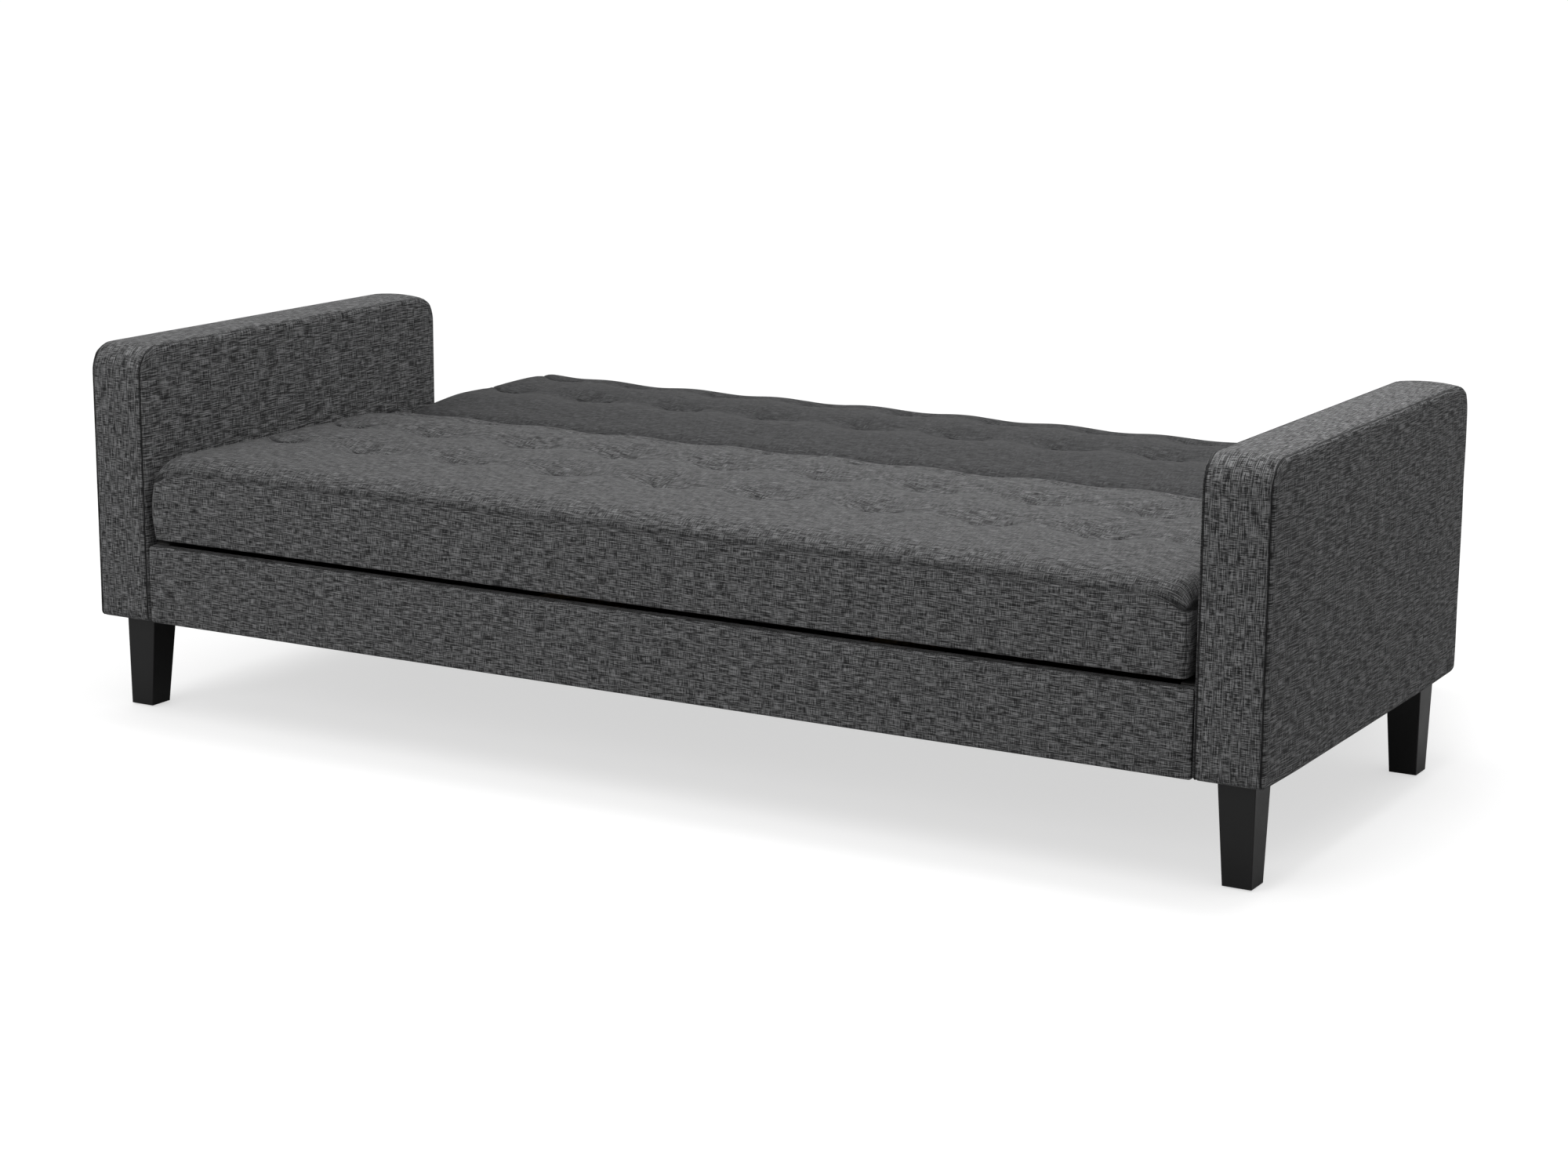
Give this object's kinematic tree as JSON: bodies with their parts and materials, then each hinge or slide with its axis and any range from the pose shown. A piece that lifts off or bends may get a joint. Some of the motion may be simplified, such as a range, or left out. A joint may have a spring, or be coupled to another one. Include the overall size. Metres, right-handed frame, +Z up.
{
  "type": "futon sofa bed",
  "caption": "Click-clack sofa bed laid flat: tufted seat and back cushions between two block arms on tapered legs, with fold-down rear support legs.",
  "frame": {"origin": "on the floor under the middle of the object's box in the bed position", "axes": "+X to the right of someone facing the front, -Y the front, +Z up"},
  "size_m": [2.04, 1.164, 0.606],
  "materials": {
    "linen_weave": "heathered two-tone woven cloth, matt",
    "foam": "open-cell foam",
    "dust_cloth": "non-woven cloth",
    "webbing": "elastic webbing",
    "black_wood": "black satin lacquer",
    "timber": "planed softwood",
    "board": "particle board",
    "glide_plastic": "moulded",
    "rubber": "matt",
    "zinc_steel": "zinc plated",
    "black_steel": "black powder coat"
  },
  "bodies": {
    "base": {"arm_cover_left": "linen_weave", "arm_cover_right": "linen_weave", "arm_frame_left": "timber", "arm_frame_right": "timber", "arm_inner_panels": "board", "arm_outer_panels": "board", "arm_base_boards": "board", "leg_front_left": "black_wood", "leg_front_right": "black_wood", "leg_rear_left": "black_wood", "leg_rear_right": "black_wood", "leg_glides": "glide_plastic", "leg_hanger_bolts": "zinc_steel", "tee_nuts": "zinc_steel", "arm_bolts": "zinc_steel", "front_apron_board": "timber", "rear_apron_board": "timber", "front_apron_cover": "linen_weave", "rear_apron_cover": "linen_weave", "side_rail_left": "timber", "side_rail_right": "timber", "base_cross_rails": "timber", "storage_floor": "board", "corner_brackets": "zinc_steel", "seat_bumpers": "rubber", "hinge_base_plate_left": "black_steel", "hinge_base_plate_right": "black_steel", "hinge_pin_left": "zinc_steel", "hinge_pin_right": "zinc_steel", "pawl_pins": "zinc_steel", "pawl_springs": "black_steel"},
    "seat": {"seat_cover": "linen_weave", "seat_foam": "foam", "seat_front_rail": "timber", "seat_rear_rail": "timber", "seat_cross_rails": "timber", "seat_webbing": "webbing", "seat_dust_cloth": "dust_cloth", "seat_plate_screws": "zinc_steel", "hinge_seat_plate_left": "black_steel", "hinge_seat_plate_right": "black_steel"},
    "back": {"back_cover": "linen_weave", "back_foam": "foam", "back_front_rail": "timber", "back_rear_rail": "timber", "back_cross_rails": "timber", "back_webbing": "webbing", "back_dust_cloth": "dust_cloth", "back_plate_screws": "zinc_steel", "hinge_back_plate_left": "black_steel", "hinge_back_plate_right": "black_steel", "support_brackets": "black_steel", "support_pins": "zinc_steel"},
    "support_leg_l": {"support_leg_left": "black_steel", "support_foot_left": "rubber"},
    "support_leg_r": {"support_leg_right": "black_steel", "support_foot_right": "rubber"},
    "pawl_l": {"pawl_left": "black_steel"},
    "pawl_r": {"pawl_right": "black_steel"}
  },
  "joints": [
    {"name": "back_recline", "type": "hinge", "parent": "base", "child": "back", "pos_m": [0, 0.086, 0.405], "axis": [1, 0, 0], "range_deg": [0, 75]},
    {"name": "seat_lift", "type": "hinge", "parent": "base", "child": "seat", "pos_m": [0, 0.086, 0.405], "axis": [-1, 0, 0], "range_deg": [0, 30]},
    {"name": "support_fold_left", "type": "hinge", "parent": "back", "child": "support_leg_l", "pos_m": [-0.7, 0.505, 0.281], "axis": [0, -1, 0], "range_deg": [0, 90]},
    {"name": "support_fold_right", "type": "hinge", "parent": "back", "child": "support_leg_r", "pos_m": [0.7, 0.505, 0.281], "axis": [0, 1, 0], "range_deg": [0, 90]},
    {"name": "pawl_left", "type": "hinge", "parent": "base", "child": "pawl_l", "pos_m": [-0.9095, 0.031, 0.393], "axis": [1, 0, 0], "range_deg": [0, 12]},
    {"name": "pawl_right", "type": "hinge", "parent": "base", "child": "pawl_r", "pos_m": [0.9095, 0.031, 0.393], "axis": [1, 0, 0], "range_deg": [0, 12]}
  ]
}
